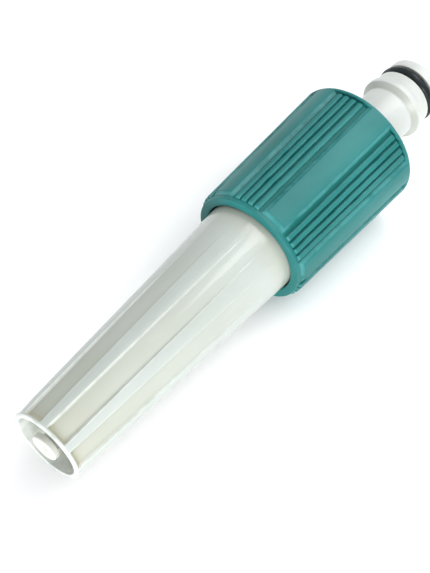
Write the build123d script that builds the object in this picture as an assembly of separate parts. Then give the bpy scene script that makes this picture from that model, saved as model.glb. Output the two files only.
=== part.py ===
from build123d import *
import os

# Adjustable twist nozzle for a garden hose, with a plug-in quick-connect tail.
# +X runs along the water way towards the outlet, and +Z is up. The origin is the centre of
# the inlet mouth, on the tail's end face. The nozzle is shut: the barrel is screwed fully in.

# ---- driving dimensions, millimetres ----
overall_length = 137.0        # inlet mouth to the barrel's front rim
pin_stands_out = 0.7          # jet pin's face in front of the rim, shut
thread_lead = 5.0             # barrel travel for one turn
travel = 7.5                  # one and a half turns

tail_bore_r = 4.5
tail_tip_r = 7.8
tail_spigot_r = 7.9
latch_ring_r = 8.6
neck_r = 7.1
tail_ring_r = 8.15            # outside of the tail's O-ring
tail_ring_section_r = 1.29
tail_groove_x = 3.2
tail_groove_width = 3.0
latch_ring_x = 9.9
latch_ring_width = 1.5
neck_x = 12.8                 # end of the slope behind the latch ring
flange_thickness = 3.2
key_angles = (30, 150, 270)   # the flange's notches and the collar's keys

collar_rear_x = 27.0
collar_length = 42.4
collar_rear_r = 16.74
collar_front_r = 15.35
front_ring_r = 14.7           # low ring in front of the ribs
front_ring_width = 1.1
first_panel_angle = 66.9      # middle of a smooth panel
panel_angle = 29.8
groove_angle = 2.0
groove_depth = 0.8
wall_recess = 1.0             # the rear wall stands in from the rear rim
rear_rim_width = 1.6
snap_groove_depth = 0.7
snap_ring_width = 1.2
collar_bore_r = 12.6
collar_mouth_r = 12.5
collar_repeats = 6
ribs_per_pocket = 4

barrel_rear_x = 38.0
barrel_mouth_r = 12.15        # barrel where it enters the collar
barrel_inside_r = 12.1        # the barrel's sliding length, inside the collar
barrel_front_r = 9.6
rim_r = 9.2
rim_width = 4.7
recess_r = 7.95
recess_depth = 6.0
barrel_ribs = 8
first_rib_angle = 88.5
hollow_width = 5.2            # the hollows between the ribs have parallel sides
hollow_depth = 0.85
rim_lip = 0.4                 # full rim in front of the hollows
lug_arc = 70.0                # degrees of thread on each of the barrel's two lugs

orifice_r = 3.7
pin_head_r = 3.4
pin_stalk_r = 2.2
stem_core_r = 7.6
stem_land_r = 6.0
stem_nose_r = 5.0
stem_bore_r = 4.4
stem_narrow_bore_r = 3.4
stop_ring_height = 0.7
port_r = 1.6
running_fit = 0.08            # radial, land to guide
thread_height = 1.0
thread_root_width = 2.8
thread_crest_width = 1.8
thread_gap = 0.25

# ---- places along X that follow from them ----
collar_front_x = collar_rear_x + collar_length
rim_back_x = overall_length - rim_width
recess_floor_x = overall_length - recess_depth
orifice_rear_x = recess_floor_x - 2.4
seat_rear_x = orifice_rear_x - 2.8
chamber_r = 6.6
flange_x = 30.2
flange_front_x = flange_x + flange_thickness
socket_x = 24.0               # the stem's plug sits in this socket
socket_r = 6.0
plug_groove_x = 26.0
plug_groove_width = 2.0
plug_groove_r = 4.6
plug_ring_section_r = 0.68
hex_rear_x = 31.8
hex_front_x = 34.8
hex_flats = 15.6
thread_start_x = 42.5
thread_start_angle = 37.0
thread_length = 2 * travel
stop_ring_x = 60.0
land_start_x = 62.5
land_end_x = 94.0
stem_bore_start_x = 37.0
stem_bore_end_x = 90.0
bore_taper = 2.0
water_end_x = 103.0           # blind end of the stem's bore
ports_x = 98.5
pin_hole_x = 112.0
seal_pocket_x = 76.2
seal_pocket_length = 2.8
seal_pocket_r = 8.0
seal_section_r = 0.96
guide_end_x = 86.0            # the guide bore opens into the chamber here
shut_off_ring_r = 5.2
shut_off_section_r = 0.86
hollow_rear_x = collar_front_x + 4.0
retainer_length = 3.0
lug_bore_r = stem_core_r + thread_height + thread_gap


def turned(*outline):
    """Revolve an outline of (x, radius) points about the X axis."""
    return revolve(make_face(Polyline(*outline, close=True)), axis=Axis.X)


def sector(start_angle, arc, *outline):
    """Revolve an outline through part of a turn. Angles run from +Y towards +Z."""
    face = make_face(Polyline(*outline, close=True))
    return Rot(start_angle, 0, 0) * revolve(face, axis=Axis.X, revolution_arc=arc)


def o_ring(x, outer_r, section_r):
    """A round-section ring about the X axis."""
    return Pos(x, 0, 0) * Rot(0, 90, 0) * Torus(outer_r - section_r, section_r)


def hexagon(across_flats, x_from, x_to):
    """A hexagonal block about the X axis."""
    outline = RegularPolygon(across_flats / 2, 6, major_radius=False)
    return Pos(x_from, 0, 0) * Rot(0, 90, 0) * extrude(outline, x_to - x_from)


def helical_ridge(root_r, crest_r, x_middle_at_start, start_angle, turns):
    """A trapezoidal ridge along a right-hand helix about the X axis, from root_r to crest_r."""
    sunk = 0.3 if crest_r > root_r else -0.3
    spread = thread_root_width / 2 + 0.5 * (thread_root_width - thread_crest_width) * 0.3 / thread_height
    path = Helix(thread_lead, thread_lead * turns, root_r)
    section_plane = Plane(origin=path @ 0, x_dir=(1, 0, 0), z_dir=path % 0)
    outline = Polyline(
        (-sunk, -spread),
        (crest_r - root_r, -thread_crest_width / 2),
        (crest_r - root_r, thread_crest_width / 2),
        (-sunk, spread),
        close=True,
    )
    ridge = sweep(section_plane * make_face(outline), path=path, is_frenet=True)
    # Rot(0, 90, 0) lays the helix's own axis along +X and its start point at -Z, 270 degrees from +Y
    return Rot(start_angle - 270, 0, 0) * Pos(x_middle_at_start, 0, 0) * Rot(0, 90, 0) * ridge


def hose_tail():
    groove_r = tail_ring_r - 2 * tail_ring_section_r - 0.02
    groove_end_x = tail_groove_x + tail_groove_width
    latch_end_x = latch_ring_x + latch_ring_width
    flange_r = collar_bore_r - 0.1
    body = turned(
        (0, tail_bore_r),
        (0, tail_tip_r - 0.7),
        (0.7, tail_tip_r),
        (tail_groove_x, tail_tip_r),
        (tail_groove_x, groove_r),
        (groove_end_x, groove_r),
        (groove_end_x, tail_spigot_r - 0.3),
        (groove_end_x + 0.3, tail_spigot_r),
        (latch_ring_x, tail_spigot_r),
        (latch_ring_x, latch_ring_r - 0.15),
        (latch_ring_x + 0.15, latch_ring_r),
        (latch_end_x, latch_ring_r),
        (neck_x, neck_r),
        (flange_x, neck_r),
        (flange_x, flange_r),
        (flange_front_x, flange_r),
        (flange_front_x, socket_r),
        (socket_x, socket_r),
        (socket_x, tail_bore_r),
    )
    body -= hexagon(hex_flats, hex_rear_x, flange_front_x + 1)
    notch_x = (flange_x + flange_front_x) / 2
    for angle in key_angles:
        body -= Rot(angle, 0, 0) * Pos(notch_x, flange_r - 1.1, 0) * Box(4.0, 3.0, 2.3)
    return body


def valve_stem():
    plug_r = socket_r - 0.05
    plug_groove_end_x = plug_groove_x + plug_groove_width
    nose_end_x = seat_rear_x - 0.1
    spigot_end_x = seat_rear_x + 2.4
    pin_hole_r = pin_stalk_r + 0.02
    body = turned(
        (socket_x + 0.2, stem_narrow_bore_r),
        (socket_x + 0.2, plug_r - 0.3),
        (socket_x + 0.5, plug_r),
        (plug_groove_x, plug_r),
        (plug_groove_x, plug_groove_r),
        (plug_groove_end_x, plug_groove_r),
        (plug_groove_end_x, plug_r),
        (hex_rear_x, plug_r),
        (hex_rear_x + 0.5, stem_core_r),
        (stop_ring_x, stem_core_r),
        (stop_ring_x, stem_core_r + stop_ring_height),
        (stop_ring_x + 0.8, stem_core_r + stop_ring_height),
        (land_start_x, stem_land_r),
        (land_end_x, stem_land_r),
        (land_end_x + 1.0, stem_nose_r),
        (nose_end_x - 0.5, stem_nose_r),
        (nose_end_x, stem_nose_r - 0.5),
        (nose_end_x, 3.45),
        (spigot_end_x - 0.6, 3.45),
        (spigot_end_x - 0.6, 3.7),
        (spigot_end_x, 3.7),
        (spigot_end_x, pin_hole_r),
        (pin_hole_x, pin_hole_r),
        (pin_hole_x, 0),
        (water_end_x, 0),
        (water_end_x, stem_narrow_bore_r),
        (stem_bore_end_x + bore_taper, stem_narrow_bore_r),
        (stem_bore_end_x, stem_bore_r),
        (stem_bore_start_x, stem_bore_r),
        (stem_bore_start_x - bore_taper, stem_narrow_bore_r),
    )
    hex_hole = Pos(hex_rear_x, 0, 0) * Rot(0, 90, 0) * Cylinder(stem_bore_r + 0.1, 20)
    body += hexagon(hex_flats - 0.2, hex_rear_x, hex_front_x) - hex_hole
    thread_turns = thread_length / thread_lead
    thread_crest_r = stem_core_r + thread_height
    body += helical_ridge(
        stem_core_r, thread_crest_r, thread_start_x, thread_start_angle, thread_turns
    )
    for angle in (0, 90):
        body -= Pos(ports_x, 0, 0) * Rot(angle, 0, 0) * Cylinder(port_r, 4 * stem_nose_r)
    return body


def jet_pin():
    root_x = pin_hole_x + 0.2
    face_x = overall_length + pin_stands_out
    head_x = face_x - 1.5
    return turned(
        (root_x, 0),
        (root_x, pin_stalk_r - 0.3),
        (root_x + 0.3, pin_stalk_r),
        (head_x - 0.6, pin_stalk_r),
        (head_x - 0.2, pin_head_r - 0.2),
        (head_x, pin_head_r),
        (face_x - 0.4, pin_head_r),
        (face_x, pin_head_r - 0.4),
        (face_x, 0),
    )


def barrel_outer_r(x):
    """The barrel's cone, from the rim to the collar's mouth."""
    slope = (barrel_mouth_r - barrel_front_r) / (rim_back_x - collar_front_x)
    return barrel_front_r + slope * (rim_back_x - x)


def barrel():
    guide_r = stem_land_r + running_fit
    seal_pocket_end_x = seal_pocket_x + seal_pocket_length
    body = turned(
        (barrel_rear_x, lug_bore_r + 0.4),
        (barrel_rear_x, barrel_inside_r - 0.6),
        (barrel_rear_x + 0.6, barrel_inside_r),
        (collar_front_x - 3.0, barrel_inside_r),
        (collar_front_x - 2.0, barrel_outer_r(collar_front_x - 1.0)),
        (rim_back_x, barrel_front_r),
        (overall_length - 0.8, rim_r + 0.08),
        (overall_length - 0.25, rim_r - 0.12),
        (overall_length, rim_r - 0.5),
        (overall_length, recess_r + 0.3),
        (overall_length - 0.3, recess_r),
        (recess_floor_x, recess_r - 0.25),
        (recess_floor_x, orifice_r),
        (orifice_rear_x, orifice_r),
        (seat_rear_x, chamber_r),
        (guide_end_x, chamber_r),
        (guide_end_x, guide_r),
        (seal_pocket_end_x, guide_r),
        (seal_pocket_end_x, seal_pocket_r),
        (seal_pocket_x, seal_pocket_r),
        (seal_pocket_x, lug_bore_r),
        (barrel_rear_x + 0.4, lug_bore_r),
    )
    # What the hollows take away lies outside a cone that is steeper than the barrel's own
    hollow_front_x = overall_length - rim_lip
    deepest_x = hollow_front_x - 1.8
    clear_r = 20
    shell = turned(
        (hollow_rear_x, barrel_outer_r(hollow_rear_x)),
        (hollow_rear_x, clear_r),
        (hollow_front_x, clear_r),
        (hollow_front_x, rim_r),
        (deepest_x, rim_r + 0.2 - hollow_depth),
    )
    hollow_middle_x = (hollow_front_x + hollow_rear_x) / 2
    strip = Box(hollow_front_x - hollow_rear_x, clear_r, hollow_width)
    for n in range(barrel_ribs):
        angle = first_rib_angle + (n + 0.5) * 360 / barrel_ribs
        body -= shell & Rot(angle, 0, 0) * Pos(hollow_middle_x, 12, 0) * strip
    for n in range(2):
        body += helical_ridge(
            lug_bore_r,
            stem_core_r + thread_gap,
            thread_start_x + thread_lead / 2 + n * thread_lead / 2,
            thread_start_angle + 180 * n,
            lug_arc / 360,
        )
    return body


def barrel_seal():
    return o_ring(seal_pocket_x + seal_pocket_length / 2, seal_pocket_r - 0.03, seal_section_r)


def seal_retainer():
    front_x = seal_pocket_x - 0.05
    rear_x = seal_pocket_x - retainer_length
    outer_r = lug_bore_r - 0.02
    inner_r = stem_land_r + 0.4
    return turned(
        (front_x, inner_r),
        (front_x, outer_r),
        (rear_x + 0.4, outer_r),
        (rear_x, outer_r - 0.4),
        (rear_x, inner_r + 0.4),
        (rear_x + 0.4, inner_r),
    )


def collar_outer_r(x):
    """The grip's cone, wider at the rear."""
    return collar_rear_r + (collar_front_r - collar_rear_r) * (x - collar_rear_x) / collar_length


def grip_collar():
    rear_wall_x = collar_rear_x + wall_recess
    rim_inner_r = collar_rear_r - rear_rim_width
    ring_x = collar_front_x - front_ring_width
    snap_x = flange_front_x + 0.1
    snap_end_x = snap_x + snap_ring_width + 0.2
    snap_groove_r = collar_bore_r + snap_groove_depth
    body = turned(
        (rear_wall_x, neck_r + 0.1),
        (rear_wall_x, rim_inner_r),
        (collar_rear_x, rim_inner_r),
        (collar_rear_x, collar_rear_r - 0.3),
        (collar_rear_x + 0.3, collar_rear_r),
        (ring_x - 0.4, collar_outer_r(ring_x - 0.4)),
        (ring_x, front_ring_r),
        (collar_front_x - 0.25, front_ring_r),
        (collar_front_x, front_ring_r - 0.25),
        (collar_front_x, collar_mouth_r + 0.3),
        (collar_front_x - 0.3, collar_mouth_r),
        (collar_front_x - 2.5, collar_mouth_r),
        (collar_front_x - 2.6, collar_bore_r),
        (snap_end_x, collar_bore_r),
        (snap_end_x, snap_groove_r),
        (snap_x, snap_groove_r),
        (snap_x, collar_bore_r),
        (flange_x, collar_bore_r),
        (flange_x, neck_r + 0.1),
    )
    pocket_angle = 360 / collar_repeats - panel_angle
    pitch = (pocket_angle - groove_angle) / ribs_per_pocket
    groove_rear_x = collar_rear_x + 1.5
    groove_front_x = collar_front_x - 1.0
    for repeat in range(collar_repeats):
        pocket_start = first_panel_angle + panel_angle / 2 + repeat * 360 / collar_repeats
        for n in range(ribs_per_pocket + 1):
            body -= sector(
                pocket_start + n * pitch,
                groove_angle,
                (groove_rear_x, collar_outer_r(groove_rear_x) - groove_depth),
                (groove_rear_x, collar_rear_r + 1),
                (groove_front_x, collar_rear_r + 1),
                (groove_front_x, collar_outer_r(groove_front_x) - groove_depth),
            )
    for angle in key_angles:
        body += Rot(angle, 0, 0) * Pos(flange_x + 1.1, collar_bore_r - 1.1, 0) * Box(2.4, 2.4, 2.0)
    return body


def collar_snap_ring():
    rear_x = flange_front_x + 0.2
    outer_r = collar_bore_r + snap_groove_depth - 0.1
    inner_r = collar_bore_r - 1.6
    return sector(
        20,
        320,
        (rear_x, inner_r),
        (rear_x, outer_r),
        (rear_x + snap_ring_width, outer_r),
        (rear_x + snap_ring_width, inner_r),
    )


tail_ring_x = tail_groove_x + tail_groove_width / 2
plug_ring_x = plug_groove_x + plug_groove_width / 2
os.makedirs("parts", exist_ok=True)
pieces = {
    "hose_tail": hose_tail(),
    "tail_o_ring": o_ring(tail_ring_x, tail_ring_r, tail_ring_section_r),
    "valve_stem": valve_stem(),
    "stem_o_ring": o_ring(plug_ring_x, socket_r - 0.02, plug_ring_section_r),
    "jet_pin": jet_pin(),
    "shut_off_o_ring": o_ring(seat_rear_x + shut_off_section_r, shut_off_ring_r, shut_off_section_r),
    "barrel": barrel(),
    "barrel_seal": barrel_seal(),
    "seal_retainer": seal_retainer(),
    "grip_collar": grip_collar(),
    "collar_snap_ring": collar_snap_ring(),
}
for name, piece in pieces.items():
    export_step(piece, f"parts/{name}.step")
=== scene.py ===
import math

import bmesh
import bpy
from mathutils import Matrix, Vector


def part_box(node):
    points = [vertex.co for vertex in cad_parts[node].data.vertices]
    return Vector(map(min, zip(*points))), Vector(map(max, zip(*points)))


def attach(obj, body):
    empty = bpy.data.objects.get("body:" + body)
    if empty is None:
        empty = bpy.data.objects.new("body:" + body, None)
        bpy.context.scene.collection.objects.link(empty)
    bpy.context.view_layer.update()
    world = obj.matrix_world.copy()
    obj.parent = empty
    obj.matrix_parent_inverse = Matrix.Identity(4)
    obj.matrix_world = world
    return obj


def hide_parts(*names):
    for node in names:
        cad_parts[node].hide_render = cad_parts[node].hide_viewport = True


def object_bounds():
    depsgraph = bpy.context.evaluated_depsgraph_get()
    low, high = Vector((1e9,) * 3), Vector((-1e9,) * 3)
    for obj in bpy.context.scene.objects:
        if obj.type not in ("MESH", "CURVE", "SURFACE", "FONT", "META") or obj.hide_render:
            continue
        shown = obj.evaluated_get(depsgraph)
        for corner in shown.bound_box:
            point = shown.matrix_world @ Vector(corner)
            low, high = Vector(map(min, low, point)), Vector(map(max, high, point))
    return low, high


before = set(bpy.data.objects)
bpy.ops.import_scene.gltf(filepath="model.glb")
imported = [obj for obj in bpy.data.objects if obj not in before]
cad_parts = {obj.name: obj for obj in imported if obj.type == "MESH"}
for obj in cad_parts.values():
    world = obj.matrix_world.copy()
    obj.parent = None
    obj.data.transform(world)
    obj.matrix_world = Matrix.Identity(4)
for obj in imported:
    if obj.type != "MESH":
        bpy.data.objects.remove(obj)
cad_low, cad_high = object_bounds()

# ---- Hose tail ----
# The plug-in half of a hose quick connector: tip, O-ring groove, spigot, latch ring and neck,
# moulded in one piece of white plastic. Its flange is keyed to the collar's rear wall, and a
# hexagonal pocket in the flange stops the valve stem from turning.

mm = 0.001
tail_end_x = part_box("hose_tail")[1].x
tip_r = 7.1 * mm
spigot_r = 7.8 * mm
seal_groove_r = 5.55 * mm
latch_ring_r = 8.6 * mm
neck_r = 7.1 * mm
flange_r = 12.5 * mm
flange_rear_x = tail_end_x - 3.2 * mm
hex_pocket_x = tail_end_x - 1.6 * mm
hex_flats = 15.6 * mm
bore_r = 4.5 * mm
socket_r = 6.0 * mm
socket_rear_x = 24 * mm
key_angle = math.radians(30)
key_pitch = 2 * math.pi / 3


def rounded(corners, steps=5):
    """Points along an outline whose corners are (x, radius, fillet)."""
    points = []
    for i, (x, r, fillet) in enumerate(corners):
        here = Vector((x, r))
        if not fillet:
            points.append(here)
            continue
        back = Vector(corners[i - 1][:2]) - here
        ahead = Vector(corners[(i + 1) % len(corners)][:2]) - here
        half = back.angle(ahead) / 2
        reach = min(fillet / math.tan(half), 0.48 * back.length, 0.48 * ahead.length)
        fillet = reach * math.tan(half)
        back.normalize()
        ahead.normalize()
        centre = here + (back + ahead).normalized() * fillet / math.sin(half)
        start = here + back * reach - centre
        end = here + ahead * reach - centre
        for k in range(steps + 1):
            points.append(centre + start.lerp(end, k / steps).normalized() * fillet)
    return points


def around(x, r, angles):
    """One ring of points round the X axis. r is a radius, or a function of the angle."""
    radius = r if callable(r) else lambda angle: r
    return [Vector((x, radius(a) * math.cos(a), radius(a) * math.sin(a))) for a in angles]


def turn(steps):
    """Evenly spaced angles, in radians from +Y towards +Z."""
    return [2 * math.pi * k / steps for k in range(steps)]


def skin(name, rings, looped=True, masks=None, sharp=35):
    """A smooth mesh over rings of points. A looped skin joins its last ring to its first."""
    count = len(rings[0])
    faces = []
    for i in range(len(rings) if looped else len(rings) - 1):
        j = (i + 1) % len(rings)
        for k in range(count):
            n = (k + 1) % count
            faces.append((i * count + k, i * count + n, j * count + n, j * count + k))
    mesh = bpy.data.meshes.new(name)
    mesh.from_pydata([point for ring in rings for point in ring], [], faces)
    for mask, values in (masks or {}).items():
        mesh.attributes.new(mask, "FLOAT", "POINT").data.foreach_set("value", values)
    shape = bmesh.new()
    shape.from_mesh(mesh)
    bmesh.ops.remove_doubles(shape, verts=shape.verts, dist=0.0005 * mm)
    bmesh.ops.recalc_face_normals(shape, faces=shape.faces)
    shape.to_mesh(mesh)
    shape.free()
    mesh.shade_smooth()
    mesh.set_sharp_from_angle(angle=math.radians(sharp))
    piece = bpy.data.objects.new(name, mesh)
    bpy.context.scene.collection.objects.link(piece)
    return piece


class Socket:
    """A shader socket in a node tree. Arithmetic on it adds Math nodes."""

    def __init__(self, tree, socket=None):
        self.tree = tree
        self.socket = socket

    def node(self, kind, settings=None, inputs=None, output=0):
        made = self.tree.nodes.new(kind)
        for name, value in (settings or {}).items():
            setattr(made, name, value)
        for name, value in (inputs or {}).items():
            if isinstance(value, Socket):
                self.tree.links.new(value.socket, made.inputs[name])
            else:
                made.inputs[name].default_value = value
        return Socket(self.tree, made.outputs[output])

    def math(self, operation, first, second=0.0):
        return self.node("ShaderNodeMath", {"operation": operation}, {0: first, 1: second})

    def clamped(self):
        return self.node("ShaderNodeClamp", None, {0: self})

    def mix(self, low, high):
        """A colour between low and high, by this factor."""
        return self.node("ShaderNodeMix", {"data_type": "RGBA"}, {0: self, 6: low, 7: high}, 2)

    def __add__(self, other):
        return self.math("ADD", self, other)

    def __sub__(self, other):
        return self.math("SUBTRACT", self, other)

    def __rsub__(self, other):
        return self.math("SUBTRACT", other, self)

    def __mul__(self, other):
        return self.math("MULTIPLY", self, other)

    __radd__ = __add__
    __rmul__ = __mul__


def new_material(name, **constants):
    """A material, its tree as an empty Socket, and a function that links its shader's sockets."""
    material = bpy.data.materials.new(name)
    material.use_nodes = True
    shader = material.node_tree.nodes["Principled BSDF"]
    for socket, value in constants.items():
        shader.inputs[socket.replace("_", " ")].default_value = value

    def link(socket, value):
        material.node_tree.links.new(value.socket, shader.inputs[socket])

    return material, Socket(material.node_tree), link


def noise(tree, where, scale, detail=3.0):
    """Noise between about 0.3 and 0.7, with this many features to the metre."""
    return tree.node("ShaderNodeTexNoise", None, {"Vector": where, "Scale": scale, "Detail": detail})


def stretched(tree, where, along, across):
    """Coordinates scaled apart along X and across it, for streaks and turning marks."""
    return tree.node(
        "ShaderNodeVectorMath", {"operation": "MULTIPLY"}, {0: where, 1: (along, across, across)}
    )


def bump(tree, height, strength, distance):
    """A surface normal from a height."""
    return tree.node(
        "ShaderNodeBump", None, {"Strength": strength, "Distance": distance, "Height": height}
    )


def moulded_plastic(name, light, dark, speck_and_shade_tint, wear_and_highlight, roughness, grain, soft=0.0, shine=0.5):
    """Injection-moulded plastic: flow shades, pin-point specks, handling scuffs and an eroded grain.
    The mesh's "hollow" mask mixes a painted shade into the deep places, and its "edge" mask
    lightens the proud edges, partly as wear and partly as painted highlight."""
    material, tree, link = new_material(
        name,
        IOR=1.49,
        Specular_IOR_Level=shine,
        Subsurface_Weight=soft,
        Subsurface_Radius=(1.2 * mm, 1.1 * mm, 0.9 * mm),
        Subsurface_Scale=1.0,
    )
    where = tree.node("ShaderNodeTexCoord", output=3)
    hollow = tree.node("ShaderNodeAttribute", {"attribute_name": "hollow"}, output=2)
    edge = tree.node("ShaderNodeAttribute", {"attribute_name": "edge"}, output=2)
    flow = noise(tree, stretched(tree, where, 35.0, 90.0), 1.0)
    specks = noise(tree, where, 1400.0, 1.0)
    scuffs = noise(tree, stretched(tree, where, 160.0, 2600.0), 1.0, 2.0)
    scuffs = ((scuffs - 0.56) * 9.0).clamped()
    colour = ((flow - 0.35) * 2.6).clamped().mix(light, dark)
    colour = (((specks - 0.66) * 8.0).clamped() * 0.15).mix(colour, speck_and_shade_tint)
    # Painted shade: the "hollow" mask mixes the darker tint into creases, grooves and recesses, where
    # shade falls.
    colour = hollow.clamped().mix(colour, speck_and_shade_tint)
    # Wear and painted highlight: the "edge" mask lightens proud edges and rims in patches.
    wear_and_highlight_patches = ((noise(tree, where, 260.0) - 0.30) * 3.5).clamped()
    colour = (edge * wear_and_highlight_patches * 0.5).mix(colour, wear_and_highlight)
    link("Base Color", colour)
    link("Roughness", (flow - 0.5) * 0.12 + scuffs * 0.10 - edge * 0.05 + roughness)
    erosion = noise(tree, where, 4200.0, 2.0)
    height = erosion * grain + flow * 0.4 - scuffs * (0.3 * grain)
    link("Normal", bump(tree, height, 0.25, 0.03 * mm))
    return material


def dress(piece, material):
    """Gives a piece one material."""
    piece.data.materials.clear()
    piece.data.materials.append(material)


def off_nearest(angle, first, pitch):
    """How far an angle is from the nearest of evenly spaced ones that start at first."""
    return abs((angle - first + pitch / 2) % pitch - pitch / 2)


def hexagon_r(angle):
    """The hexagonal pocket's radius. The hexagon has a corner at the top."""
    return hex_flats / 2 / math.cos(off_nearest(angle, 0, math.pi / 3))


def keyed_flange_r(angle):
    """The flange's edge, with a notch for each of the collar's three keys."""
    off_key = off_nearest(angle, key_angle, key_pitch)
    return 9.9 * mm if off_key * flange_r < 1.15 * mm else flange_r


tail_corners = [
    (0, bore_r, 0.3 * mm),
    (0, tip_r, 0.2 * mm),
    (0.7 * mm, spigot_r, 0.4 * mm),
    (3.2 * mm, spigot_r, 0.15 * mm),
    (3.2 * mm, seal_groove_r, 0.2 * mm),
    (6.2 * mm, seal_groove_r, 0.2 * mm),
    (6.2 * mm, spigot_r + 0.1 * mm, 0.35 * mm),
    (9.9 * mm, spigot_r + 0.1 * mm, 0.25 * mm),
    (9.9 * mm, latch_ring_r, 0.18 * mm),
    (11.4 * mm, latch_ring_r, 0.45 * mm),
    (12.8 * mm, neck_r, 0.8 * mm),
    (flange_rear_x, neck_r, 0),
]
tail_angles = turn(240)
tail_rings = [around(p.x, p.y, tail_angles) for p in rounded(tail_corners)]
tail_rings += [
    around(flange_rear_x, keyed_flange_r, tail_angles),
    around(tail_end_x, keyed_flange_r, tail_angles),
    around(tail_end_x, hexagon_r, tail_angles),
    around(hex_pocket_x, hexagon_r, tail_angles),
    around(hex_pocket_x, socket_r, tail_angles),
    around(socket_rear_x, socket_r, tail_angles),
    around(socket_rear_x, bore_r, tail_angles),
]
# Painted shade: a darker beige tint in the crease behind the latch ring, round the seal groove and
# inside the socket.
tail_shade_mask = []
for ring in tail_rings:
    x, r = ring[0].x / mm, ring[0].y / mm
    behind_latch = 0.75 * max(1 - abs(x - 12.1) / 0.9, 0) if r < 8.5 else 0
    by_groove = 0.6 * max(1 - abs(x - 4.7) / 2.2, 0)
    tail_shade_mask += [max(behind_latch, by_groove, 0.25 if x > 26 else 0)] * len(ring)
hose_tail = skin("hose_tail_moulding", tail_rings, masks={"hollow": tail_shade_mask})
white_plastic = moulded_plastic(
    "white_moulded_plastic",
    light=(0.63, 0.655, 0.64, 1),
    dark=(0.52, 0.54, 0.505, 1),
    # This beige tint is the tail's painted shade, and the specks' colour.
    speck_and_shade_tint=(0.30, 0.29, 0.20, 1),
    wear_and_highlight=(0.72, 0.74, 0.72, 1),
    roughness=0.30,
    grain=0.25,
    soft=0.15,
)
dress(hose_tail, white_plastic)
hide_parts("hose_tail")
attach(hose_tail, "grip_and_stem")

# ---- O-rings ----
# Four black nitrile rubber rings, moulded to a round section and greased when they are fitted:
# one in the tail's groove, one on the stem's plug, one on the stem's nose that shuts the
# orifice, and one that slides with the barrel.


def rubber(name):
    """Black nitrile rubber with a faint bloom and a patchy film of grease."""
    material, tree, link = new_material(name, IOR=1.52, Coat_Roughness=0.10, Specular_IOR_Level=0.2)
    where = tree.node("ShaderNodeTexCoord", output=3)
    grease = ((noise(tree, where, 450.0) - 0.42) * 5.0).clamped()
    bloom = noise(tree, where, 2200.0, 2.0)
    link("Base Color", bloom.mix((0.002, 0.006, 0.007, 1), (0.008, 0.014, 0.015, 1)))
    link("Roughness", 0.42 - grease * 0.16 + bloom * 0.06)
    link("Coat Weight", grease * 0.35)
    link("Normal", bump(tree, bloom, 0.2, 0.02 * mm))
    return material


def o_ring(name, node, section):
    """A ring that fills its node's box, with a faint flash line round its section's middle."""
    low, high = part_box(node)
    middle_x = (low.x + high.x) / 2
    core_r = high.z - section / 2
    flash = 0.02 * mm
    body_r = section / 2 - flash
    rings = []
    for k, swing in enumerate(turn(40)):
        height = body_r + flash if k in (0, 20) else body_r
        x = middle_x + body_r * math.sin(swing)
        rings.append(around(x, core_r + height * math.cos(swing), turn(200)))
    ring = skin(name, rings, sharp=60)
    dress(ring, greased_rubber)
    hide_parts(node)
    return ring


greased_rubber = rubber("greased_nitrile_rubber")
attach(o_ring("tail_seal_ring", "tail_o_ring", 2.58 * mm), "grip_and_stem")
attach(o_ring("stem_plug_ring", "stem_o_ring", 1.36 * mm), "grip_and_stem")
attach(o_ring("shut_off_ring", "shut_off_o_ring", 1.72 * mm), "grip_and_stem")
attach(o_ring("sliding_seal_ring", "barrel_seal", 1.92 * mm), "sliding_seal")

# ---- Valve stem and seal retainer ----
# The hollow spindle that everything turns on, moulded in off-white acetal: hexagon, drive
# thread, stop ring, smooth land for the sliding seal and four ports. The retainer is a ring of
# the same acetal, pressed into the barrel behind the seal. Both are hidden, so the CAD shapes stay.

acetal = moulded_plastic(
    "off_white_acetal",
    light=(0.60, 0.60, 0.55, 1),
    dark=(0.53, 0.53, 0.47, 1),
    speck_and_shade_tint=(0.40, 0.38, 0.30, 1),
    wear_and_highlight=(0.66, 0.66, 0.62, 1),
    roughness=0.26,
    grain=0.03,
)
for node in ("valve_stem", "seal_retainer"):
    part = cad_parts[node]
    part.data.materials.clear()
    part.data.materials.append(acetal)

# ---- Jet pin ----
# A small acetal mushroom pressed into the nose of the stem. Its thin stalk runs through the
# orifice, and its head turns the jet into a cone as the barrel comes forward over it.

pin_low, pin_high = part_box("jet_pin")
pin_face_x = pin_high.x
pin_head_r = 3.4 * mm
pin_stalk_r = 2.2 * mm
pin_corners = [
    (pin_low.x, 0.01 * mm, 0),
    (pin_low.x, pin_stalk_r, 0.3 * mm),
    (pin_face_x - 2.1 * mm, pin_stalk_r, 0.3 * mm),
    (pin_face_x - 1.6 * mm, pin_head_r, 0.25 * mm),
    (pin_face_x - 0.05 * mm, pin_head_r, 0.42 * mm),
    (pin_face_x, 0.8 * mm, 0),
    (pin_face_x - 0.12 * mm, 0.55 * mm, 0),
    (pin_face_x - 0.12 * mm, 0.01 * mm, 0),
]
pin_rings = [around(p.x, p.y, turn(120)) for p in rounded(pin_corners)]
jet_pin = skin("jet_pin_mushroom", pin_rings, sharp=50)
dress(jet_pin, acetal)
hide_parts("jet_pin")
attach(jet_pin, "grip_and_stem")

# ---- Grip collar ----
# The blue-green hand grip, moulded in one piece: six smooth panels with sloping edges and four
# thin ribs between each two, a low ring in front and a full rim behind. Inside are the rear wall
# round the neck, three keys for the tail's flange and the groove for the snap ring.

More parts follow.
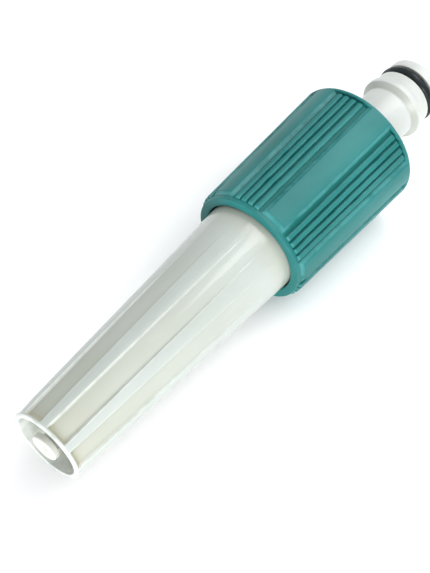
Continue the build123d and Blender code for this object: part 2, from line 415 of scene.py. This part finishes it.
collar_low, collar_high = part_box("grip_collar")
collar_rear_x = collar_low.x
collar_front_x = collar_high.x
collar_rear_r = 16.74 * mm
collar_front_r = 15.35 * mm
front_ring_r = 14.7 * mm
front_ring_width = 1.1 * mm
mouth_r = 12.5 * mm
collar_bore_r = 12.6 * mm
ring_groove_r = collar_bore_r + 0.7 * mm
neck_hole_r = neck_r + 0.1 * mm
rear_recess_r = collar_rear_r - 1.6 * mm
rear_recess_x = collar_rear_x + 1.0 * mm
key_front_x = flange_rear_x + 2.3 * mm
panel_middle = math.radians(66.9)
panel_half = math.radians(14.0)
panel_slope = 1.2 * mm
rib_half = math.radians(2.4)
rib_middles = [math.radians(a) for a in (19.4, 26.45)]
groove_depth = 0.9 * mm
repeat = math.pi / 3


def quarter_round(distance, radius):
    """How far up a rounded edge has risen at this distance inside it, from 0 to 1."""
    left = 1 - min(max(distance / radius, 0), 1)
    return math.sqrt(1 - left * left)


def collar_top_r(x):
    share = (x - collar_rear_x) / (collar_front_x - collar_rear_x)
    return collar_rear_r + (collar_front_r - collar_rear_r) * share


def collar_raised(x, angle):
    """1 on the panels, the ribs and the rear rim, and 0 in the grooves and on the front ring."""
    side = off_nearest(angle, panel_middle, repeat)
    r = collar_top_r(x)
    from_front = collar_front_x - front_ring_width - x
    from_rear = x - collar_rear_x
    rim = quarter_round(0.78 * mm - from_rear, 0.12 * mm)
    slope_up = min((panel_half - side) * r, from_front + 0.1 * mm) / panel_slope
    panel = 0.08 + 0.92 * min(slope_up, 1) if slope_up > 0 else 0
    rib = 0
    for middle in rib_middles:
        inside = (rib_half - abs(side - middle)) * r
        crown = 0.55 * quarter_round(inside, 0.10 * mm) + 0.45 * quarter_round(inside, 0.38 * mm)
        rib = max(rib, crown)
    rib *= quarter_round(from_front, 0.7 * mm) * quarter_round(from_rear - 1.45 * mm, 0.2 * mm)
    return max(rim, panel, rib)


def collar_angles():
    """Angles that crowd at the edges of the panels and the ribs."""
    steps = [0, 0.02, 0.06, 0.12, 0.2, 0.3, 0.42]
    local = [panel_half * share for share in (0, 0.3, 0.6)]
    slope_top = panel_half - panel_slope / collar_front_r
    local += [slope_top + step * mm / collar_front_r for step in (-0.15, -0.05, 0.0, 0.05, 0.15, 0.6)]
    local += [panel_half - step * mm / collar_front_r for step in (0.1, 0.02, 0.0)]
    for middle in rib_middles:
        local += [middle - rib_half + step * mm / collar_front_r for step in steps]
        local.append(middle)
        local += [middle + rib_half - step * mm / collar_front_r for step in steps]
        local.append(middle - rib_half - 0.25 * mm / collar_front_r)
        local.append(middle + rib_half + 0.25 * mm / collar_front_r)
    local = sorted(set(round(a, 7) for a in local))
    half = [a for a in local if 0 < a < repeat / 2 - 1e-5]
    one = [-a for a in reversed(half)] + [0.0] + half + [repeat / 2]
    return [panel_middle + n * repeat + a for n in range(6) for a in one]


def spaced(start, end, step):
    """Evenly spaced places from start to end, no more than step apart."""
    count = max(1, math.ceil(abs(end - start) / step))
    return [start + (end - start) * k / count for k in range(count + 1)]


def collar_keys_r(angle):
    """The bore in front of the rear wall, with the three keys that stand in from it."""
    off_key = off_nearest(angle, key_angle, key_pitch)
    return 10.3 * mm if off_key * collar_bore_r < 1.0 * mm else collar_bore_r


angles = collar_angles()
collar_rings = []
raised_wear_and_highlight = []
groove_shade_mask = []
rear_rounding = rounded(
    [
        (collar_rear_x, rear_recess_r, 0),
        (collar_rear_x, collar_rear_r, 0.3 * mm),
        (collar_rear_x + 0.7 * mm, collar_top_r(collar_rear_x + 0.7 * mm), 0),
    ]
)[1:-1]
for point in rear_rounding:
    collar_rings.append(around(point.x, point.y, angles))
    groove_shade_mask += [0.0] * len(angles)
    # Painted highlight: the rear rim's rounded edge is lightened.
    raised_wear_and_highlight += [0.6] * len(angles)
outer_places = [collar_rear_x + step * mm for step in (0.5, 0.64, 0.66, 0.7, 0.75, 0.79, 0.9, 1.2)]
outer_places += [collar_rear_x + step * mm for step in (1.45, 1.46, 1.5, 1.57, 1.65, 1.8)]
outer_places += spaced(collar_rear_x + 2.2 * mm, collar_front_x - 3.0 * mm, 1.6 * mm)
front_steps = (2.6, 2.4, 2.3, 2.2, 2.1, 1.9, 1.7, 1.5, 1.4, 1.3, 1.2, 1.15, 1.12)
outer_places += [collar_front_x - step * mm for step in front_steps]
outer_places += [collar_front_x - step * mm for step in (1.1, 1.0, 0.6)]
for x in outer_places:
    top = collar_top_r(min(x, collar_front_x - front_ring_width))
    share = min(max((x - (collar_front_x - 4 * mm)) / (2.9 * mm), 0), 1)
    floor = (top - groove_depth) * (1 - share) + front_ring_r * share
    heights = [collar_raised(x, a) for a in angles]
    radii = [floor + (top - floor) * h for h in heights]
    collar_rings.append([around(x, r, [a])[0] for a, r in zip(angles, radii)])
    on_ring = x > collar_front_x - front_ring_width
    # Painted shade: the groove floors take the darker tint, where shade falls between the ribs.
    groove_shade_mask += [0 if on_ring else 1 - h for h in heights]
    # Wear and painted highlight: the slopes of the ribs and panels are lightened.
    raised_wear_and_highlight += [4 * h * (1 - h) for h in heights]
inner_corners = [
    (collar_front_x, front_ring_r, 0.28 * mm),
    (collar_front_x, mouth_r, 0.3 * mm),
    (collar_front_x - 2.5 * mm, mouth_r, 0.05 * mm),
    (collar_front_x - 2.6 * mm, collar_bore_r, 0.05 * mm),
    (tail_end_x + 1.5 * mm, collar_bore_r, 0),
    (tail_end_x + 1.5 * mm, ring_groove_r, 0),
    (tail_end_x + 0.1 * mm, ring_groove_r, 0),
    (tail_end_x + 0.1 * mm, collar_bore_r, 0),
]
leading = [(collar_front_x - 0.5 * mm, front_ring_r, 0)]
for point in rounded(leading + inner_corners)[1:]:
    collar_rings.append(around(point.x, point.y, angles))
collar_rings += [
    around(key_front_x, collar_bore_r, angles),
    around(key_front_x, collar_keys_r, angles),
    around(flange_rear_x, collar_keys_r, angles),
    around(flange_rear_x, neck_hole_r, angles),
    around(rear_recess_x, neck_hole_r, angles),
    around(rear_recess_x, rear_recess_r, angles),
    around(collar_rear_x, rear_recess_r, angles),
]
plain = len(collar_rings) * len(angles) - len(groove_shade_mask)
groove_shade_mask += [0.0] * plain
raised_wear_and_highlight += [0.0] * plain
collar_masks = {"hollow": groove_shade_mask, "edge": raised_wear_and_highlight}
grip_collar = skin("grip_collar_moulding", collar_rings, masks=collar_masks, sharp=40)
green_plastic = moulded_plastic(
    "blue_green_moulded_plastic",
    light=(0.019, 0.172, 0.167, 1),
    dark=(0.008, 0.125, 0.118, 1),
    # The darker tint is the grooves' painted shade.
    speck_and_shade_tint=(0.001, 0.118, 0.107, 1),
    # The lighter colour is wear and painted highlight on the rib and panel edges.
    wear_and_highlight=(0.110, 0.350, 0.355, 1),
    roughness=0.36,
    grain=0.30,
    shine=0.22,
)
dress(grip_collar, green_plastic)
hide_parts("grip_collar")
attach(grip_collar, "grip_and_stem")

# ---- Snap ring ----
# A split ring of bright spring steel. It springs into the collar's groove and holds the tail's
# flange against the rear wall. It is hidden, so the CAD shape stays.

steel, steel_tree, steel_link = new_material("spring_steel", Metallic=1.0)
steel_where = steel_tree.node("ShaderNodeTexCoord", output=3)
steel_streaks = noise(steel_tree, stretched(steel_tree, steel_where, 3000.0, 260.0), 1.0)
steel_link("Base Color", steel_streaks.mix((0.42, 0.43, 0.44, 1), (0.62, 0.62, 0.61, 1)))
steel_link("Roughness", steel_streaks * 0.25 + 0.16)
snap_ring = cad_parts["collar_snap_ring"]
snap_ring.data.materials.clear()
snap_ring.data.materials.append(steel)

# ---- Barrel ----
# The pale grey nozzle, moulded in one tapered piece: eight hollows with parallel sides leave
# ribs for the fingers between them and fade out towards the collar. Its recess holds the
# orifice, and two short lugs in its bore run in the stem's thread.

barrel_low, barrel_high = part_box("barrel")
rim_x = barrel_high.x
barrel_rear_x = barrel_low.x
rim_back_x = rim_x - 4.7 * mm
barrel_mouth_r = 12.15 * mm
barrel_front_r = 9.6 * mm
rim_r = 9.2 * mm
recess_r = 7.95 * mm
recess_floor_x = rim_x - 6.0 * mm
orifice_r = 3.7 * mm
chamber_r = 6.6 * mm
guide_r = 6.08 * mm
guide_front_x = 86 * mm
seal_pocket_r = 8.0 * mm
seal_pocket_x = (76.2 * mm, 79 * mm)
ribs = 8
first_rib = math.radians(88.5)
hollow_half = 2.62 * mm
hollow_depth = 0.85 * mm
hollow_front_x = rim_x - 0.42 * mm
hollow_rear_x = collar_front_x + 4.0 * mm
lug_bore_r = 8.85 * mm
thread_lead = 5.0 * mm
lug_x = 45.0 * mm
lug_zone = (43 * mm, 54 * mm)
lug_start = math.radians(37)
lug_arc = math.radians(70)
lane_r = 9.0 * mm


def barrel_top_r(x):
    """The barrel's cone, and the steeper cone of its last few millimetres."""
    slope = (barrel_mouth_r - barrel_front_r) / (rim_back_x - collar_front_x)
    if x > rim_back_x:
        slope = 0.32 / 3.9
    return barrel_front_r + slope * (rim_back_x - x)


def smooth(value):
    value = min(max(value, 0), 1)
    return value * value * (3 - 2 * value)


def hollow_cut(x, across):
    """How far the surface is sunk at this place along and across a hollow."""
    depth = hollow_depth * max((x - hollow_rear_x) / (hollow_front_x - hollow_rear_x), 0)
    sides = smooth((hollow_half - abs(across)) / (0.4 * mm) + 0.25)
    front = smooth((hollow_front_x - x) / (1.0 * mm))
    return depth * sides * front


def barrel_ring(x, top):
    """A ring whose points keep to the hollows' parallel edges, and the masks that go with it."""
    lanes = [0, 0.9, 1.7, 2.1, 2.22, 2.32, 2.4, 2.48, 2.55, 2.62, 2.68, 2.75, 2.9]
    hollow_side = [math.asin(lane * mm / top) for lane in lanes]
    pitch = 2 * math.pi / ribs
    rib_side = [hollow_side[-1] + (pitch / 2 - hollow_side[-1]) * share for share in (0.3, 0.65)]
    half = hollow_side + rib_side
    local = [-a for a in reversed(half[1:])] + half + [pitch / 2]
    points, edges = [], []
    for n in range(ribs):
        middle = first_rib + (n + 0.5) * pitch
        for offset in local:
            across = top * math.sin(offset)
            points += around(x, top - hollow_cut(x, across), [middle + offset])
            # Wear and painted highlight: the hollows' edges are lightened, more towards the rim.
            near = 1 - min(abs(abs(across) - hollow_half) / (0.35 * mm), 1)
            depth_share = max((x - hollow_rear_x) / (hollow_front_x - hollow_rear_x), 0)
            edges.append(near * depth_share * smooth((rim_x - x) / (2 * mm)))
    return points, edges


def lug_height(x, angle):
    """The drive thread's two lugs, which stand in from the bore, from 0 to 1."""
    best = 0
    for n in range(2):
        along = (angle - lug_start - n * math.pi) % (2 * math.pi)
        if along <= lug_arc:
            off = abs(x - lug_x - n * thread_lead / 2 - thread_lead * along / (2 * math.pi))
            best = max(best, min(max((1.4 * mm - off) / (0.5 * mm), 0), 1))
    return best


def painted_shade_at(x, top, point):
    """Painted shade: a darker beige tint on the hollows' deeper floors, at their front ends and in
    the band beside the collar.
    """
    sunk = (top - math.hypot(point.y, point.z)) / hollow_depth
    outside = smooth((x - collar_front_x + 3.0 * mm) / (2.5 * mm))
    by_collar = 0.35 * outside * smooth((collar_front_x + 8.0 * mm - x) / (8.0 * mm))
    by_rim = smooth((x - rim_x + 4.5 * mm) / (4.0 * mm)) * min(max(sunk * 1.5, 0), 1)
    in_hollow = 0.45 * min(max(sunk, 0), 1)
    return max(by_collar, by_rim, in_hollow)


barrel_rings = []
edge_wear_and_highlight = []
barrel_shade_mask = []


def add_outer_ring(x, top):
    """A ring of the barrel's outside, with its hollows."""
    ring, edges = barrel_ring(x, top)
    barrel_rings.append(ring)
    edge_wear_and_highlight.extend(edges)
    barrel_shade_mask.extend([painted_shade_at(x, top, point) for point in ring])


def add_inner_ring(x, radius, speck_and_shade_tint):
    """A ring of the rim, the recess or the bores. It keeps to the outside's lanes. Its shade
    amount is painted shade, and the rim and the recess walls are lightened as painted highlight and
    rim wear.
    """
    lanes = barrel_ring(x, lane_r)[0]
    barrel_rings.append(around(x, radius, [math.atan2(point.z, point.y) for point in lanes]))
    # Painted highlight, partly rim wear: the rim and the recess walls are lightened all round.
    edge_wear_and_highlight.extend([1.0 if x > recess_floor_x else 0.0] * len(lanes))
    barrel_shade_mask.extend([speck_and_shade_tint] * len(lanes))


inside_r = barrel_mouth_r - 0.05 * mm
for step, inset in ((0.0, 0.6), (0.05, 0.35), (0.2, 0.12), (0.6, 0.0)):
    add_outer_ring(barrel_rear_x + step * mm, inside_r - inset * mm)
for x in spaced(barrel_rear_x + 2 * mm, collar_front_x - 3.0 * mm, 5 * mm):
    add_outer_ring(x, inside_r)
add_outer_ring(collar_front_x - 2.0 * mm, barrel_top_r(collar_front_x - 1.0 * mm))
for x in spaced(collar_front_x, hollow_front_x - 2.0 * mm, 1.5 * mm):
    add_outer_ring(x, barrel_top_r(x))
for step in (1.8, 1.6, 1.4, 1.2, 1.0, 0.8, 0.6, 0.45, 0.3, 0.2, 0.1, 0.0):
    x = hollow_front_x - step * mm
    add_outer_ring(x, barrel_top_r(x))
rim_outline = rounded(
    [
        (hollow_front_x, barrel_top_r(hollow_front_x), 0),
        (rim_x - 0.2 * mm, rim_r - 0.1 * mm, 0.35 * mm),
        (rim_x, rim_r - 0.5 * mm, 0.2 * mm),
        (rim_x, recess_r + 0.1 * mm, 0.25 * mm),
        (recess_floor_x, recess_r - 0.25 * mm, 0.35 * mm),
        (recess_floor_x, orifice_r, 0.25 * mm),
        (recess_floor_x - 2.4 * mm, orifice_r, 0.2 * mm),
        (recess_floor_x - 5.2 * mm, chamber_r, 0.3 * mm),
        (guide_front_x, chamber_r, 0),
        (guide_front_x, guide_r, 0),
        (seal_pocket_x[1], guide_r, 0),
        (seal_pocket_x[1], seal_pocket_r, 0),
        (seal_pocket_x[0], seal_pocket_r, 0),
        (seal_pocket_x[0], lug_bore_r, 0),
    ]
)[1:]
# Painted shade: the recess turns darker and beige with depth, and the bores get a flat painted shade.
for point in rim_outline:
    sunk = smooth((rim_x - 0.8 * mm - point.x) / (3.0 * mm)) if point.y < recess_r + 0.01 * mm else 0
    add_inner_ring(point.x, point.y, 0.4 * sunk)
for x in spaced(lug_zone[1], lug_zone[0], 0.25 * mm):
    add_inner_ring(x, lambda angle: lug_bore_r - lug_height(x, angle) * mm, 0.3)
add_inner_ring(barrel_rear_x + 0.4 * mm, lug_bore_r, 0.3)
barrel_masks = {"hollow": barrel_shade_mask, "edge": edge_wear_and_highlight}
barrel = skin("barrel_moulding", barrel_rings, masks=barrel_masks, sharp=45)
grey_plastic = moulded_plastic(
    "pale_grey_moulded_plastic",
    light=(0.435, 0.470, 0.446, 1),
    dark=(0.385, 0.418, 0.385, 1),
    # The beige tint paints shade in the hollows and the recess; the pale colour after it is wear and
    # painted highlight.
    speck_and_shade_tint=(0.345, 0.335, 0.235, 1),
    wear_and_highlight=(0.76, 0.78, 0.74, 1),
    roughness=0.10,
    grain=0.04,
    soft=0.1,
)
dress(barrel, grey_plastic)
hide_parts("barrel")
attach(barrel, "barrel")

# ---- Studio ----
# A pale floor that the collar rests on, a soft key light low in front of the nozzle, a small weak
# one near its axis, a soft light above, an overhead soft box whose edge shows in the barrel's
# gloss, and a pale sky.

floor_z = cad_low.z - 0.05 * mm
floor_mesh = bpy.data.meshes.new("studio_floor")
reach = 3.0
floor_corners = [(-reach, -reach), (reach, -reach), (reach, reach), (-reach, reach)]
floor_mesh.from_pydata([(x, y, floor_z) for x, y in floor_corners], [], [(0, 1, 2, 3)])
floor = bpy.data.objects.new("studio_floor", floor_mesh)
bpy.context.scene.collection.objects.link(floor)
floor_paint, floor_tree, floor_link = new_material(
    "pale_floor", Roughness=0.9, Specular_IOR_Level=0.0
)
floor_where = floor_tree.node("ShaderNodeTexCoord", output=3)
floor_shades = noise(floor_tree, floor_where, 40.0)
floor_link("Base Color", floor_shades.mix((0.95, 0.95, 0.95, 1), (0.98, 0.98, 0.98, 1)))
floor.data.materials.append(floor_paint)

aim = Vector((80 * mm, 0, 0))


def area_light(name, direction, distance, size, power):
    """A soft rectangular light that faces the nozzle from this direction."""
    lamp = bpy.data.lights.new(name, "AREA")
    lamp.shape = "RECTANGLE"
    lamp.size = size[0]
    lamp.size_y = size[1]
    lamp.energy = power
    stand = bpy.data.objects.new(name, lamp)
    stand.location = aim + Vector(direction).normalized() * distance
    stand.rotation_euler = (aim - stand.location).to_track_quat("-Z", "Y").to_euler()
    bpy.context.scene.collection.objects.link(stand)


area_light("key_light", (0.72, 0.68, 0.15), 0.7, (0.5, 0.35), 5.0)
area_light("front_light", (0.95, 0.30, 0.08), 0.6, (0.3, 0.2), 1.1)
area_light("top_light", (-0.25, 0.30, 0.90), 0.75, (0.7, 0.6), 1.4)


def toward(around_deg, back_deg):
    """A direction this many degrees round the axis from +Z to +Y, and leaning back to -X."""
    turned = math.radians(around_deg)
    lean = math.radians(back_deg)
    across = math.cos(lean)
    return Vector((-math.sin(lean), across * math.sin(turned), across * math.cos(turned)))


box_front_edge = [(-13.8, 24.7), (7.4, 24.0), (22.6, 15.5), (30.2, 24.0), (34, 24.5), (39.2, 24.7)]
box_corners = box_front_edge + [(39.2, 40), (-13.8, 40)]
box_points = [aim + 0.6 * toward(*corner) for corner in box_corners]
box_mesh = bpy.data.meshes.new("overhead_soft_box")
box_mesh.from_pydata(box_points, [], [tuple(range(len(box_points)))])
soft_box = bpy.data.objects.new("overhead_soft_box", box_mesh)
bpy.context.scene.collection.objects.link(soft_box)
glow = bpy.data.materials.new("soft_box_cloth")
glow.use_nodes = True
glow.node_tree.nodes.clear()
glow_tree = Socket(glow.node_tree)
emission = glow_tree.node("ShaderNodeEmission", None, {"Strength": 5.5})
output = glow.node_tree.nodes.new("ShaderNodeOutputMaterial")
glow.node_tree.links.new(emission.socket, output.inputs["Surface"])
soft_box.data.materials.append(glow)
soft_box.visible_camera = False

world = bpy.data.worlds.new("pale_sky")
world.use_nodes = True
sky = world.node_tree.nodes["Background"]
sky.inputs["Color"].default_value = (0.96, 0.98, 1.0, 1)
sky.inputs["Strength"].default_value = 0.78
bpy.context.scene.world = world
bpy.context.scene.view_settings.view_transform = "Standard"

# ---- Camera ----
# A short telephoto above and in front of the outlet, looking back along the barrel, so that
# the recess, the ribs and the collar's front all show.

camera_data = bpy.data.cameras.new("camera")
camera_data.sensor_width = 36
camera_data.lens = 75.4
camera_data.clip_start = 0.01
camera = bpy.data.objects.new("camera", camera_data)
camera.location = Vector((rim_x + 66.0 * mm, 101.7 * mm, 226.6 * mm))
camera.rotation_euler = Vector((-0.4366, -0.3653, -0.8221)).to_track_quat("-Z", "Y").to_euler()
bpy.context.scene.collection.objects.link(camera)
bpy.context.scene.camera = camera
